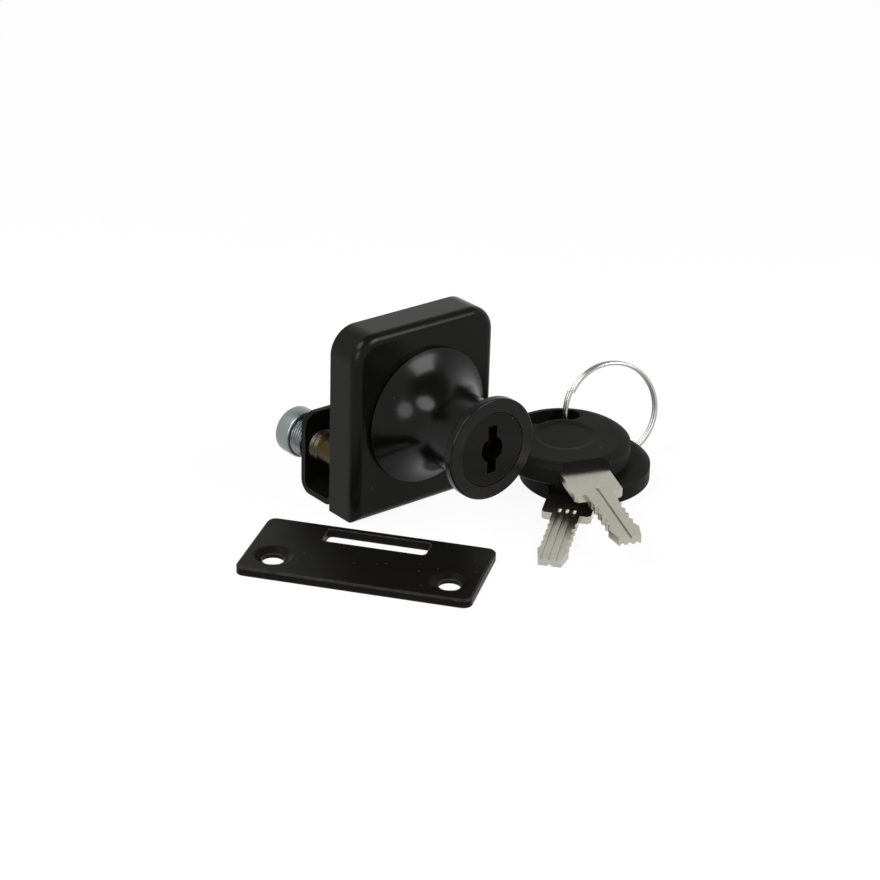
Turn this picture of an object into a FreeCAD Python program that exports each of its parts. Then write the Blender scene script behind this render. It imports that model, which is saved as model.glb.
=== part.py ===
import FreeCAD, Part
import math
import os
import types

import Sketcher
from FreeCAD import Placement, Rotation, Vector

# Glass door lock with its strike plate and two keys, in millimetres.
# The origin is where the axis of the key cylinder meets the glass. The lock faces -Y, +Z is up and
# the glass lies on the +Y side. The whole set stands on the level of the case's bottom edge.

# Driving dimensions. Each one becomes a cell of the spreadsheet, with its name as alias.
SIZES = {
    # case
    "case_width": 34.0,
    "case_height": 38.2,
    "case_depth": 8.0,
    "case_corner": 5.4,
    "case_edge": 1.9,
    "case_wall": 2.4,
    "case_front_wall": 1.8,
    "case_rim": 1.5,
    "case_sill": 1.0,
    "axis_height": 19.2,
    "post_radius": 2.8,
    "post_inset_side": 5.4,
    "post_inset_end": 5.6,
    "guide_thickness": 2.0,
    "guide_gap": 0.5,
    "guide_bed": 1.2,
    # knob, in front of the case
    "knob_length": 20.2,
    "bell_radius": 13.7,
    "bell_lip": 0.9,
    "bell_flare": 10.0,
    "neck_radius": 7.75,
    "flange_radius": 10.15,
    "flange_thickness": 1.9,
    "flange_round": 0.35,
    "spigot_radius": 7.5,
    "spigot_length": 3.1,
    "nut_flats": 18.4,
    "nut_thickness": 1.2,
    # plug and wafers
    "plug_radius": 6.0,
    "plug_head_radius": 7.3,
    "plug_head_thickness": 1.7,
    "plug_head_gap": 0.2,
    "plug_tail": 3.85,
    "running_gap": 0.1,
    "keyway_depth": 20.0,
    "keyway_height": 9.7,
    "keyway_width": 2.2,
    "keyway_eye_radius": 2.6,
    "wafer_half_width": 2.5,
    "wafer_thickness": 1.2,
    "wafer_pitch": 2.1,
    "wafer_setback": 4.4,
    "wafer_travel": 0.6,
    "wafer_groove_margin": 1.0,
    "wafer_step_1": 0.4,
    "wafer_step_2": -0.2,
    "wafer_step_3": 0.1,
    "wafer_step_4": 0.3,
    "wafer_step_5": -0.4,
    "wafer_window_gap": 0.3,
    "wafer_ear": 1.6,
    "spring_radius": 0.45,
    "spring_wire": 0.22,
    "spring_turns": 4.0,
    "tang_width": 5.0,
    "tang_length": 1.0,
    "clip_groove_depth": 0.6,
    "clip_thickness": 0.5,
    "clip_radius": 7.2,
    # cam and bolt
    "cam_radius": 11.6,
    "cam_thickness": 1.0,
    "pin_radius": 1.0,
    "pin_orbit": 5.0,
    "bolt_throw": 5.0,
    "bolt_width": 14.0,
    "bolt_thickness": 3.5,
    "bolt_tail_width": 10.0,
    "bolt_tail_thickness": 1.5,
    "bolt_retreat": 0.2,
    "bolt_round": 0.8,
    "fit_gap": 0.1,
    "cam_screw_radius": 1.25,
    "cam_screw_head_radius": 2.2,
    "cam_screw_head_height": 0.8,
    # bracket behind the glass
    "sheet": 1.2,
    "bend_radius": 1.4,
    "channel": 8.0,
    "jaw_height": 17.5,
    "jaw_corner": 3.0,
    "pad_thickness": 0.8,
    "pad_inset": 1.6,
    "screw_radius": 1.25,
    "screw_head_radius": 2.3,
    "screw_length": 5.0,
    "screw_end_gap": 0.4,
    # clamp screws
    "clamp_inset": 3.9,
    "clamp_rise": 10.4,
    "clamp_thread_radius": 3.175,
    "clamp_thread_pitch": 1.27,
    "clamp_head_radius": 4.8,
    "clamp_head_length": 4.0,
    "clamp_head_round": 0.35,
    "clamp_collar_radius": 4.2,
    "clamp_collar_length": 3.3,
    "clamp_rest_gap": 0.3,
    "clamp_tip_radius": 2.9,
    "clamp_tip_length": 4.6,
    "clamp_nose_length": 1.0,
    # strike plate
    "strike_length": 45.0,
    "strike_width": 21.6,
    "strike_thickness": 1.7,
    "strike_corner": 1.8,
    "strike_slot_length": 20.2,
    "strike_slot_width": 5.2,
    "strike_slot_corner": 0.9,
    "strike_slot_margin": 1.5,
    "strike_edge": 0.25,
    "strike_hole_spread": 17.0,
    "strike_hole_offset": 4.3,
    "strike_hole_radius": 2.15,
    "strike_sink_radius": 3.7,
    "strike_x": -25.0,
    "strike_y": -23.4,
    "strike_turn": -53.5,
    # keys
    "bow_radius": 13.1,
    "bow_thickness": 5.0,
    "bow_edge_thickness": 3.0,
    "bow_shoulder_width": 2.2,
    "bow_dish_depth": 0.25,
    "bow_dish_slope": 1.2,
    "bow_dish_radius": 6.2,
    "bow_slot_width": 4.2,
    "bow_slot_margin": 2.2,
    "bow_slot_half_angle": 25.0,
    "bow_notch": 2.5,
    "bow_notch_gap": 0.3,
    "bow_notch_corner": 1.3,
    "blade_thickness": 1.6,
    "blade_width": 6.0,
    "blade_tip_width": 4.4,
    "blade_tip_length": 3.6,
    "blade_length": 17.2,
    "shoulder_width": 9.7,
    "shoulder_reach": 21.1,
    "shoulder_chamfer": 0.6,
    "shoulder_step": 1.2,
    "tang_reach": 4.0,
    "tooth_flat": 0.8,
    "tooth_ramp_angle": 60.0,
    "tooth_land": 0.3,
    "tooth_cut_1": 0.55,
    "tooth_cut_2": 0.8,
    "tooth_cut_3": 0.6,
    "tooth_cut_4": 0.85,
    "tooth_cut_5": 0.65,
    "blade_groove_width": 0.7,
    "blade_groove_depth": 0.35,
    "blade_groove_start": 1.9,
    "blade_groove_spread": 1.45,
    "key_1_x": 28.4,
    "key_1_y": -18.05,
    "key_1_turn": -112.8,
    "key_2_x": 32.33,
    "key_2_y": -19.98,
    "key_2_turn": -141.6,
    "key_stack_gap": 0.05,
    # split ring
    "ring_radius": 9.9,
    "ring_wire_radius": 0.4,
    "ring_wire_gap": 0.05,
    "ring_turns": 2.0,
    "ring_end_angle": 150.0,
    "ring_x": 44.05,
    "ring_y": -14.36,
    "ring_height": 10.39,
    "ring_lean_angle": 12.6,
    "ring_turn": -17.75,
}

class Size:
    """A length or an angle that knows both its number and the spreadsheet expression that gives it."""

    def __init__(self, value, text):
        self.value = value
        self.text = text

    @staticmethod
    def of(other):
        return other if isinstance(other, Size) else Size(float(other), repr(float(other)))

    def __add__(self, other):
        other = Size.of(other)
        return Size(self.value + other.value, f"({self.text} + {other.text})")

    def __sub__(self, other):
        other = Size.of(other)
        return Size(self.value - other.value, f"({self.text} - {other.text})")

    def __mul__(self, other):
        other = Size.of(other)
        return Size(self.value * other.value, f"({self.text} * {other.text})")

    def __truediv__(self, other):
        other = Size.of(other)
        return Size(self.value / other.value, f"({self.text} / {other.text})")

    def __neg__(self):
        return Size(-self.value, f"(-1 * {self.text})")

    def __radd__(self, other):
        return Size.of(other) + self

    def __rsub__(self, other):
        return Size.of(other) - self

    def __rmul__(self, other):
        return Size.of(other) * self


def root(size):
    """The square root of a size."""
    return Size(math.sqrt(size.value), f"sqrt({size.text})")


def cosine(angle):
    return Size(math.cos(math.radians(angle.value)), f"cos({angle.text})")


def sine(angle):
    return Size(math.sin(math.radians(angle.value)), f"sin({angle.text})")


def leg(long_side, short_side):
    """The other leg of a right triangle, from its longest side and one leg."""
    return root(long_side * long_side - short_side * short_side)


doc = FreeCAD.newDocument("glass_door_lock")
sheet = doc.addObject("Spreadsheet::Sheet", "Sizes")
for row, (alias, number) in enumerate(SIZES.items(), 1):
    sheet.set(f"A{row}", alias)
    sheet.set(f"B{row}", str(number))
    sheet.setAlias(f"B{row}", alias)
doc.recompute()
mm = types.SimpleNamespace()
for alias in SIZES:
    setattr(mm, alias, Size(float(getattr(sheet, alias)), f"Sizes.{alias}"))

NODES = []


# Sketches and features

def new_body(name):
    body = doc.addObject("PartDesign::Body", name)
    body.Label = name
    NODES.append(body)
    return body


def new_sketch(body, name, role, offset=0):
    """A sketch on one of the body's own origin planes, moved along the plane's normal."""
    sketch = body.newObject("Sketcher::SketchObject", name)
    plane = next(item for item in body.Origin.OriginFeatures if item.Role == role)
    sketch.AttachmentSupport = [(plane, "")]
    sketch.MapMode = "FlatFace"
    if isinstance(offset, Size):
        sketch.setExpression("AttachmentOffset.Base.z", offset.text)
    return sketch


def at(x, y):
    return Vector(Size.of(x).value, Size.of(y).value, 0)


def bind(sketch, constraint, size):
    index = sketch.addConstraint(constraint)
    sketch.setExpression(f"Constraints[{index}]", Size.of(size).text)


def fix(sketch, geometry, place, x, y):
    """Holds one point of a sketch at its distances from the sketch's origin."""
    for kind, axis, size in (("DistanceX", -2, x), ("DistanceY", -1, y)):
        if isinstance(size, Size):
            bind(sketch, Sketcher.Constraint(kind, -1, 1, geometry, place, size.value), size)
        elif size == 0:
            sketch.addConstraint(Sketcher.Constraint("PointOnObject", geometry, place, axis))
        else:
            sketch.addConstraint(Sketcher.Constraint(kind, -1, 1, geometry, place, float(size)))


def outline(sketch, path):
    """Adds a closed outline. Each item is (x, y) where a line ends, or (x, y, radius, turn) where an arc
    ends, with turn 1 for an arc that bends left and -1 for one that bends right."""
    ends = []
    for index, item in enumerate(path):
        start = at(*path[index - 1][:2])
        end = at(*item[:2])
        if len(item) == 2:
            ends.append((sketch.addGeometry(Part.LineSegment(start, end)), 1, 2))
            continue
        radius, turn = item[2:]
        chord = end - start
        reach = math.sqrt(max(Size.of(radius).value ** 2 - chord.Length ** 2 / 4, 0))
        side = Vector(-chord.y, chord.x, 0).normalize() * turn
        centre = (start + end) * 0.5 + side * reach
        first, last = (start, end) if turn > 0 else (end, start)
        angles = [math.atan2(point.y - centre.y, point.x - centre.x) for point in (first, last)]
        circle = Part.Circle(centre, Vector(0, 0, 1), Size.of(radius).value)
        geometry = sketch.addGeometry(Part.ArcOfCircle(circle, *angles))
        ends.append((geometry, 1, 2) if turn > 0 else (geometry, 2, 1))
        bind(sketch, Sketcher.Constraint("Radius", geometry, Size.of(radius).value), radius)
    for index, item in enumerate(path):
        geometry, _, last = ends[index]
        following, first, _ = ends[(index + 1) % len(path)]
        sketch.addConstraint(Sketcher.Constraint("Coincident", geometry, last, following, first))
        fix(sketch, geometry, last, *item[:2])
    return sketch


def rectangle(sketch, left, bottom, right, top):
    return outline(sketch, [(left, bottom), (right, bottom), (right, top), (left, top)])


def disc(sketch, x, y, radius):
    geometry = sketch.addGeometry(Part.Circle(at(x, y), Vector(0, 0, 1), Size.of(radius).value))
    fix(sketch, geometry, 3, x, y)
    bind(sketch, Sketcher.Constraint("Radius", geometry, Size.of(radius).value), radius)
    return sketch


def finish_feature(body, feature, grows):
    """Computes a feature and makes sure that it really added or took away material."""
    before = feature.BaseFeature.Shape.Volume if feature.BaseFeature else 0
    doc.recompute()
    change = feature.Shape.Volume - before
    if change == 0 or (change > 0) != grows:
        raise RuntimeError(f"{body.Label}: {feature.Name} changed the volume by {change:.3f}")
    return feature


def pad(body, name, sketch, length, both_ways=False):
    feature = body.newObject("PartDesign::Pad", name)
    feature.Profile = sketch
    feature.setExpression("Length", Size.of(length).text)
    feature.SideType = "Symmetric" if both_ways else "One side"
    return finish_feature(body, feature, True)


def cut(body, name, sketch, length, along_normal=True, both_ways=False):
    feature = body.newObject("PartDesign::Pocket", name)
    feature.Profile = sketch
    feature.setExpression("Length", Size.of(length).text)
    feature.Reversed = along_normal
    feature.SideType = "Symmetric" if both_ways else "One side"
    return finish_feature(body, feature, False)


def revolve(body, name, sketch):
    feature = body.newObject("PartDesign::Revolution", name)
    feature.Profile = sketch
    feature.ReferenceAxis = (sketch, ["V_Axis"])
    feature.Angle = 360
    return finish_feature(body, feature, True)


def edge_names(shape, wanted):
    return [f"Edge{index}" for index, edge in enumerate(shape.Edges, 1) if wanted(edge)]


def round_edges(body, name, wanted, radius, kind="Fillet"):
    base = body.Tip
    feature = body.newObject(f"PartDesign::{kind}", name)
    feature.Base = (base, edge_names(base.Shape, wanted))
    feature.setExpression("Radius" if kind == "Fillet" else "Size", Size.of(radius).text)
    doc.recompute()
    if not feature.isValid():
        raise RuntimeError(f"{body.Label}: {name} failed")
    return feature


def near(number, target, tolerance=0.01):
    return abs(number - target) < tolerance


def flat_at(edge, axis, place):
    """Whether an edge lies wholly in the plane where the axis has that value."""
    box = edge.BoundBox
    low, high = getattr(box, f"{axis}Min"), getattr(box, f"{axis}Max")
    return near(low, place) and near(high, place)


def along(edge, axis):
    """Whether an edge is a straight line along that axis."""
    lengths = {"X": edge.BoundBox.XLength, "Y": edge.BoundBox.YLength, "Z": edge.BoundBox.ZLength}
    return near(lengths.pop(axis), edge.Length) and max(lengths.values()) < 0.01


def at_radius(edge, radius, y):
    """Whether an edge is a full ring about the cylinder's axis, with that radius, at that depth."""
    box = edge.BoundBox
    return flat_at(edge, "Y", y) and near(box.XMax, radius, 0.02) and near(box.XMin, -radius, 0.02)


def shaped(name, shape, placement=None):
    """A part whose shape is made with Part's own functions."""
    feature = doc.addObject("Part::Feature", name)
    feature.Label = name
    feature.Shape = shape
    if placement:
        feature.Placement = placement
    NODES.append(feature)
    return feature


# Places that several parts share

case_front = mm.case_depth + mm.pad_thickness      # distance of the case's face in front of the glass
case_floor = case_front - mm.case_front_wall       # inner side of the case's front wall
leg_front = mm.pad_thickness + mm.sheet            # front side of the bracket's upright leg
case_bottom = -mm.axis_height
case_top = mm.case_height - mm.axis_height
half_width = mm.case_width / 2
bore_radius = mm.plug_radius + mm.running_gap
post_x = half_width - mm.post_inset_side
post_top = case_top - mm.post_inset_end
post_bottom = case_bottom + mm.post_inset_end
guide_half = mm.bolt_width / 2 + mm.fit_gap
guide_top = -(mm.cam_radius + mm.guide_gap)
cam_front = case_front - mm.plug_tail - mm.fit_gap / 2
bolt_back = leg_front + mm.fit_gap * 2
bolt_front = bolt_back + mm.bolt_thickness
tail_front = bolt_back + mm.bolt_tail_thickness
sill_top = case_bottom + mm.case_sill
jaw_front = mm.channel - mm.pad_thickness
jaw_back = jaw_front + mm.sheet
clamp_x = half_width - mm.clamp_inset
clamp_z = case_bottom + mm.clamp_rise
notch_start = mm.bow_radius - mm.bow_notch


def ahead(distance):
    """The y of a place that lies this far in front of the case's face."""
    return -(case_front + distance)


def case_path(inset, bottom, corner):
    """Outline of the case seen from the front: square at the bottom, rounded at the top."""
    side = half_width - inset
    top = case_top - inset
    return [
        (side, bottom),
        (side, top - corner),
        (side - corner, top, corner, 1),
        (corner - side, top),
        (-side, top - corner, corner, 1),
        (-side, bottom),
    ]


def wafer_offset(index):
    """Distance of a wafer's back face in front of the case's face."""
    return mm.knob_length - mm.wafer_setback - mm.wafer_pitch * index


def case_ring(body, name, inset, bottom, corner, depth):
    """A sketch of the case's outline, moved inwards, in the plane at this depth in front of the glass."""
    return outline(new_sketch(body, name, "XZ_Plane", depth), case_path(inset, bottom, corner))


def make_housing():
    """Die-cast case: rounded front, open back with a seat for the bracket, posts and bolt guides inside."""
    body = new_body("housing")
    back = mm.pad_thickness
    block = case_ring(body, "case_outline", Size.of(0), case_bottom, mm.case_corner, back)
    pad(body, "case_block", block, mm.case_depth)
    front = -case_front.value
    round_edges(body, "front_rounding", lambda edge: flat_at(edge, "Y", front), mm.case_edge)

    seat = case_ring(body, "seat_outline", mm.case_rim, sill_top, mm.case_corner - mm.case_rim, back)
    cut(body, "bracket_seat", seat, mm.sheet)
    cavity_floor = case_bottom + mm.case_wall
    inner_corner = mm.case_corner - mm.case_wall
    cavity = case_ring(body, "cavity_outline", mm.case_wall, cavity_floor, inner_corner, leg_front)
    cut(body, "cavity", cavity, case_floor - leg_front)

    posts = new_sketch(body, "post_circles", "XZ_Plane", leg_front)
    for x in (post_x, -post_x):
        for z in (post_top, post_bottom):
            disc(posts, x, z, mm.post_radius)
    pad(body, "posts", posts, case_floor - leg_front)
    guides = new_sketch(body, "guide_outlines", "XZ_Plane", leg_front)
    outer = guide_half + mm.guide_thickness
    low = case_bottom + mm.case_wall / 2
    rectangle(guides, guide_half, low, outer, guide_top)
    rectangle(guides, -outer, low, -guide_half, guide_top)
    pad(body, "bolt_guides", guides, case_floor - leg_front)
    bed_half = guide_half + mm.guide_thickness / 2
    bed = rectangle(new_sketch(body, "bed_outline", "XZ_Plane", bolt_front + mm.fit_gap),
                    -bed_half, low, bed_half, guide_top)
    pad(body, "bolt_bed", bed, case_floor - bolt_front - mm.fit_gap)

    mouth = rectangle(new_sketch(body, "mouth_outline", "XZ_Plane", leg_front),
                      -guide_half, case_bottom - mm.case_wall, guide_half, cavity_floor)
    cut(body, "bolt_mouth", mouth, bolt_front + mm.fit_gap - leg_front)
    knob_circle = new_sketch(body, "knob_circle", "XZ_Plane", leg_front)
    opening = disc(knob_circle, 0, 0, mm.spigot_radius + mm.fit_gap / 2)
    cut(body, "knob_opening", opening, case_front)
    holes = new_sketch(body, "thread_circles", "XZ_Plane", leg_front)
    for x in (post_x, -post_x):
        for z in (post_top, post_bottom):
            disc(holes, x, z, mm.screw_radius)
    cut(body, "screw_threads", holes, mm.screw_length - mm.sheet + mm.screw_end_gap)


def make_knob():
    """Turned knob: bell-mouthed foot, waisted neck, thin flange, and a spigot through the case."""
    body = new_body("knob")
    drop = mm.bell_radius - mm.neck_radius
    flare_height = leg(mm.bell_flare, mm.bell_flare - drop)
    flange_back = mm.knob_length - mm.flange_thickness
    recess_radius = mm.plug_head_radius + mm.plug_head_gap
    profile = outline(new_sketch(body, "knob_profile", "XY_Plane"), [
        (bore_radius, ahead(-mm.spigot_length)),
        (mm.spigot_radius, ahead(-mm.spigot_length)),
        (mm.spigot_radius, ahead(0)),
        (mm.bell_radius, ahead(0)),
        (mm.bell_radius, ahead(mm.bell_lip)),
        (mm.neck_radius, ahead(mm.bell_lip + flare_height), mm.bell_flare, 1),
        (mm.neck_radius, ahead(flange_back)),
        (mm.flange_radius, ahead(flange_back)),
        (mm.flange_radius, ahead(mm.knob_length)),
        (recess_radius, ahead(mm.knob_length)),
        (recess_radius, ahead(mm.knob_length - mm.plug_head_thickness)),
        (bore_radius, ahead(mm.knob_length - mm.plug_head_thickness)),
    ])
    revolve(body, "turned_knob", profile)
    flange = mm.flange_radius.value
    depths = (ahead(mm.knob_length).value, ahead(flange_back).value)
    round_edges(body, "flange_rounding", lambda edge: any(at_radius(edge, flange, y) for y in depths),
                mm.flange_round)

    groove_back = case_front + wafer_offset(4) - mm.wafer_groove_margin
    grooves = new_sketch(body, "groove_outlines", "XZ_Plane", groove_back)
    side = mm.wafer_half_width + mm.running_gap
    outer = bore_radius + mm.wafer_travel + mm.running_gap
    rectangle(grooves, -side, mm.plug_radius / 2, side, outer)
    rectangle(grooves, -side, -outer, side, -mm.plug_radius / 2)
    cut(body, "wafer_grooves", grooves, mm.wafer_pitch * 4 + mm.wafer_thickness + mm.wafer_groove_margin * 2)


def make_knob_nut():
    """Thin hexagon nut that holds the knob to the case's front wall."""
    body = new_body("knob_nut")
    half = mm.nut_flats / 2
    tip = half * (2 / math.sqrt(3))
    hexagon = outline(new_sketch(body, "hexagon", "XZ_Plane", case_floor - mm.nut_thickness), [
        (tip, 0), (tip / 2, half), (-tip / 2, half), (-tip, 0), (-tip / 2, -half), (tip / 2, -half)])
    pad(body, "nut_block", hexagon, mm.nut_thickness)
    nut_circle = new_sketch(body, "nut_circle", "XZ_Plane", case_floor - mm.nut_thickness)
    hole = disc(nut_circle, 0, 0, mm.spigot_radius)
    cut(body, "nut_hole", hole, mm.nut_thickness)


def make_plug():
    """Key plug: wide head in the flange, keyway, five wafer slots, clip groove and a square tang."""
    body = new_body("plug")
    groove_front = mm.spigot_length + mm.fit_gap / 2
    groove_back = groove_front + mm.clip_thickness
    groove_radius = mm.plug_radius - mm.clip_groove_depth
    head_back = mm.knob_length - mm.plug_head_thickness + mm.running_gap
    profile = outline(new_sketch(body, "plug_profile", "XY_Plane"), [
        (0, ahead(-mm.plug_tail)),
        (mm.plug_radius, ahead(-mm.plug_tail)),
        (mm.plug_radius, ahead(-groove_back)),
        (groove_radius, ahead(-groove_back)),
        (groove_radius, ahead(-groove_front)),
        (mm.plug_radius, ahead(-groove_front)),
        (mm.plug_radius, ahead(head_back)),
        (mm.plug_head_radius, ahead(head_back)),
        (mm.plug_head_radius, ahead(mm.knob_length - mm.fit_gap)),
        (0, ahead(mm.knob_length - mm.fit_gap)),
    ])
    revolve(body, "turned_plug", profile)
    half_tang = mm.tang_width / 2
    tang_end = case_front - mm.plug_tail - mm.tang_length
    tang = rectangle(new_sketch(body, "tang_outline", "XZ_Plane", tang_end),
                     -half_tang, -half_tang, half_tang, half_tang)
    pad(body, "tang", tang, mm.tang_length + mm.clip_thickness / 2)

    way = new_sketch(body, "keyway_outline", "XZ_Plane", case_front + mm.knob_length - mm.keyway_depth)
    half = mm.keyway_width / 2
    eye = leg(mm.keyway_eye_radius, half)
    arm = mm.keyway_height / 2
    outline(way, [
        (half, arm), (-half, arm), (-half, eye), (-half, -eye, mm.keyway_eye_radius, 1),
        (-half, -arm), (half, -arm), (half, -eye), (half, eye, mm.keyway_eye_radius, 1)])
    cut(body, "keyway", way, mm.keyway_depth)

    slot = new_sketch(body, "wafer_slot_outline", "XZ_Plane", case_front + wafer_offset(0) - mm.fit_gap / 2)
    side = mm.wafer_half_width + mm.fit_gap / 2
    reach = mm.plug_radius + mm.wafer_travel
    ear = mm.wafer_half_width + mm.wafer_ear + mm.fit_gap
    outline(slot, [
        (-side, reach), (-side, -reach), (side, -reach), (side, -mm.plug_radius * 0.6),
        (ear, -mm.plug_radius * 0.6), (ear, mm.wafer_ear * 0.9), (side, mm.wafer_ear * 0.9), (side, reach)])
    first = cut(body, "wafer_slot", slot, mm.wafer_thickness + mm.fit_gap)
    row = body.newObject("PartDesign::LinearPattern", "wafer_slots")
    row.Originals = [first]
    row.Direction = (slot, ["N_Axis"])
    row.Reversed = True
    row.setExpression("Length", (mm.wafer_pitch * 4).text)
    row.Occurrences = 5
    body.Tip = row
    doc.recompute()

    hole = disc(new_sketch(body, "cam_screw_circle", "XZ_Plane", tang_end), 0, 0, mm.cam_screw_radius)
    cut(body, "cam_screw_hole", hole, mm.plug_tail)


def make_wafer(index, step):
    """One wafer: a stamped plate with a window for the key and an ear that its spring pushes."""
    body = new_body(f"wafer_{index + 1}")
    side = mm.wafer_half_width
    radius = mm.plug_radius - mm.fit_gap / 2
    edge = leg(radius, side)
    ear = side + mm.wafer_ear
    ear_low = -mm.wafer_ear * 0.4
    ear_high = mm.wafer_ear * 0.4
    place = case_front + wafer_offset(index)
    plate = outline(new_sketch(body, "plate_outline", "XZ_Plane", place), [
        (side, -edge, radius, 1), (side, ear_low), (ear, ear_low), (ear, ear_high), (side, ear_high),
        (side, edge), (-side, edge, radius, 1), (-side, -edge)])
    pad(body, "plate", plate, mm.wafer_thickness)
    half = mm.keyway_width / 2 + mm.running_gap
    tall = mm.blade_width / 2 + mm.wafer_window_gap
    window = new_sketch(body, "window_outline", "XZ_Plane", place)
    rectangle(window, -half, step - tall, half, step + tall)
    cut(body, "window", window, mm.wafer_thickness)


def arc_from(start, tangent, end):
    """The arc that leaves one point along a tangent and ends at another point."""
    chord = end - start
    straight = Vector(chord).normalize()
    aside = (tangent - straight * tangent.dot(straight)).normalize()
    bulge = math.tan(math.acos(tangent.dot(straight)) / 2) * chord.Length / 2
    return Part.Arc(start, (start + end) * 0.5 + aside * bulge, end).toShape()


def coil(radius, wire, pitch, turns):
    """An unbroken wire wound about Z, from z = 0 up. Two arcs that meet smoothly make each quarter turn."""
    count = math.ceil(turns * 4)
    length = math.hypot(2 * math.pi * radius, pitch)

    def place(step):
        angle = 2 * math.pi * turns * step / count
        across, up = 2 * math.pi * radius / length, pitch / length
        point = Vector(radius * math.cos(angle), radius * math.sin(angle), pitch * turns * step / count)
        return point, Vector(-across * math.sin(angle), across * math.cos(angle), up)

    arcs = []
    for step in range(count):
        (start, leaving), (end, arriving) = place(step), place(step + 1)
        chord, both, bend = end - start, leaving + arriving, 1 - leaving.dot(arriving)
        reach = math.sqrt(chord.dot(both) ** 2 + 2 * bend * chord.dot(chord)) - chord.dot(both)
        middle = (start + end + (leaving - arriving) * (reach / (2 * bend))) * 0.5
        arcs.append(arc_from(start, leaving, middle))
        arcs.append(arc_from(end, -arriving, middle))
    section = Part.Wire(Part.Circle(place(0)[0], place(0)[1], wire).toShape())
    return Part.Wire(arcs).makePipeShell([section], True, False)


def make_wafer_spring(index):
    """Coil spring that stands under a wafer's ear in the plug."""
    x = mm.wafer_half_width.value + mm.wafer_ear.value / 2
    bottom = -mm.plug_radius.value * 0.6 + mm.spring_wire.value / 2
    top = -mm.wafer_ear.value * 0.4 - mm.spring_wire.value / 2
    turns = mm.spring_turns.value
    pitch = (top - bottom) / turns
    y = -(case_front + wafer_offset(index) + mm.wafer_thickness / 2).value
    shape = coil(mm.spring_radius.value, mm.spring_wire.value / 2, pitch, turns)
    shaped(f"wafer_spring_{index + 1}", shape, Placement(Vector(x, y, bottom), Rotation()))


def make_retaining_clip():
    """Open ring in the plug's groove, behind the knob's spigot."""
    body = new_body("retaining_clip")
    place = case_front - mm.spigot_length - mm.fit_gap / 2 - mm.clip_thickness
    ring = disc(new_sketch(body, "clip_outline", "XZ_Plane", place), 0, 0, mm.clip_radius)
    pad(body, "clip_disc", ring, mm.clip_thickness)
    inner = mm.plug_radius - mm.clip_groove_depth
    gap = inner * 0.7
    low = -leg(inner, gap)
    mouth = new_sketch(body, "clip_mouth", "XZ_Plane", place)
    disc(mouth, 0, 0, inner)
    cut(body, "clip_bore", mouth, mm.clip_thickness)
    ring_width = mm.clip_radius - inner
    opening = rectangle(new_sketch(body, "clip_gap", "XZ_Plane", place),
                        -gap, -mm.clip_radius - ring_width, gap, low + ring_width / 4)
    cut(body, "clip_opening", opening, mm.clip_thickness)


def make_cam():
    """Cam disc on the plug's tang. Its spiral slot moves the bolt by the same amount for each degree."""
    radius = mm.cam_radius.value
    thickness = mm.cam_thickness.value
    orbit = mm.pin_orbit.value
    throw = mm.bolt_throw.value
    half = mm.pin_radius.value + mm.fit_gap.value
    steps = 12

    def spiral(offset, reverse):
        angles = [math.pi * step / steps for step in range(steps + 1)]
        points = []
        for angle in (reversed(angles) if reverse else angles):
            reach = orbit + throw * angle / math.pi + offset
            points.append(Vector(reach * math.sin(angle), 0, -reach * math.cos(angle)))
        curve = Part.BSplineCurve()
        curve.interpolate(points)
        return curve.toShape(), points[0], points[-1]

    # the slot's sides keep half the slot's width from the pin's path, measured square to that path
    slope = throw / math.pi / orbit
    side = half * math.sqrt(1 + slope * slope)
    outer, outer_start, outer_end = spiral(side, False)
    inner, inner_start, inner_end = spiral(-side, True)
    bulge = Vector(-side, 0, 0)
    turn_end = Part.Arc(outer_end, (outer_end + inner_start) * 0.5 + bulge, inner_start).toShape()
    turn_start = Part.Arc(inner_end, (inner_end + outer_start) * 0.5 + bulge, outer_start).toShape()
    slot = Part.Face(Part.Wire([outer, turn_end, inner, turn_start])).extrude(Vector(0, thickness, 0))
    plate = Part.makeCylinder(radius, thickness, Vector(0, 0, 0), Vector(0, 1, 0))
    tang = mm.tang_width.value + mm.fit_gap.value / 2
    square = Part.makeBox(tang, thickness, tang, Vector(-tang / 2, 0, -tang / 2))
    shape = plate.cut(slot).cut(square)
    shaped("scroll_cam", shape, Placement(Vector(0, -cam_front.value, 0), Rotation()))


def make_cam_screw():
    """Screw that holds the cam on the tang."""
    body = new_body("cam_screw")
    seat = case_front - mm.plug_tail - mm.tang_length - mm.fit_gap / 2
    profile = outline(new_sketch(body, "screw_profile", "XY_Plane"), [
        (0, -seat - mm.plug_tail * 0.8),
        (mm.cam_screw_radius, -seat - mm.plug_tail * 0.8),
        (mm.cam_screw_radius, -seat),
        (mm.cam_screw_head_radius, -seat),
        (mm.cam_screw_head_radius, -seat + mm.cam_screw_head_height),
        (0, -seat + mm.cam_screw_head_height),
    ])
    revolve(body, "turned_screw", profile)


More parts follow.
